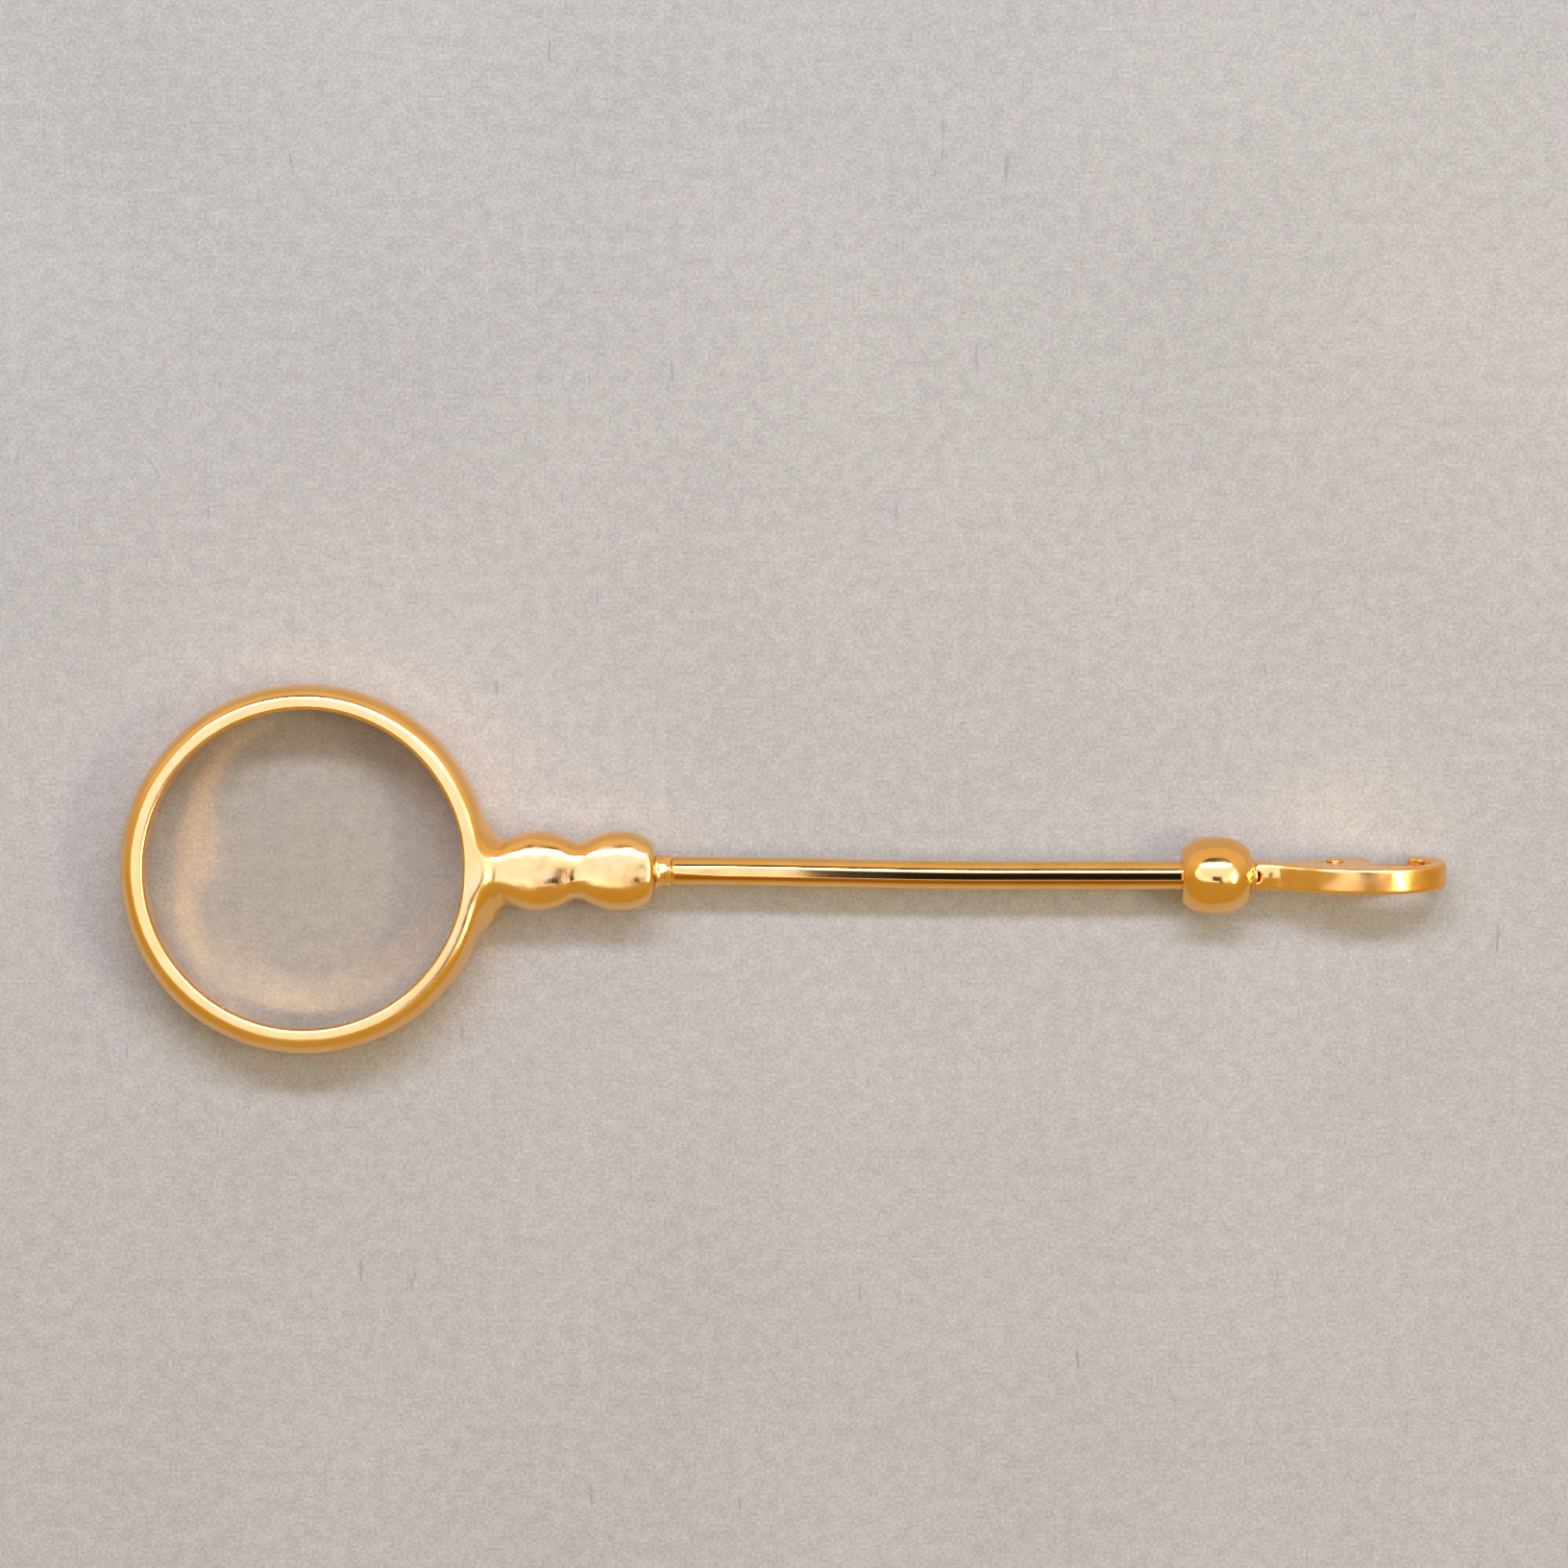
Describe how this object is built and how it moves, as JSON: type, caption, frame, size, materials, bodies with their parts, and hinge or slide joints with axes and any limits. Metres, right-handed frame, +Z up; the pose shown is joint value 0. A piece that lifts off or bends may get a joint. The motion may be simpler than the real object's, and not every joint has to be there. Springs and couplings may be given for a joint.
{
  "type": "jewelers loupe",
  "caption": "Handheld jeweller's loupe: clear lens in a domed gold ring with a beaded stem, on a thin wire handle ending in a swivel barrel and a small snap hook.",
  "frame": {"origin": "under the middle of the object's box, on the surface it lies on", "axes": "+X along the handle from the lens to the snap hook, +Z up along the lens axis, +Y across the lens"},
  "size_m": [0.075, 0.021, 0.0047],
  "materials": {
    "polished_gold": "gold-plated brass, polished, with fine drawing lines and light scratches",
    "satin_gold": "gold-plated casting, hand-finished, with soft facets and fine streaks",
    "spring_steel": "bright spring wire",
    "lens_glass": "clear coated optical glass with a ground edge"
  },
  "bodies": {
    "handle": {"lens_frame": "satin_gold", "lens": "lens_glass", "lens_retaining_ring": "polished_gold", "neck_collar": "satin_gold", "handle_rod": "polished_gold", "swivel_head": "polished_gold"},
    "swivel": {"swivel_barrel": "polished_gold", "barrel_plug": "polished_gold", "clasp_body": "polished_gold", "lever_rivet": "polished_gold", "lever_spring": "spring_steel"},
    "lever": {"clasp_lever": "polished_gold"}
  },
  "joints": [
    {"name": "clasp_swivel", "type": "hinge", "parent": "handle", "child": "swivel", "pos_m": [0.02627, -0.00036, 0.00228], "axis": [1, 0, 0], "continuous": true},
    {"name": "lever_hinge", "type": "hinge", "parent": "swivel", "child": "lever", "pos_m": [0.03117, -0.00027, 0.00174], "axis": [0, -0.9877, -0.1564], "range_deg": [0, 22], "stiffness_Nm_per_rad": 0.003, "springref_deg": -17.19}
  ]
}
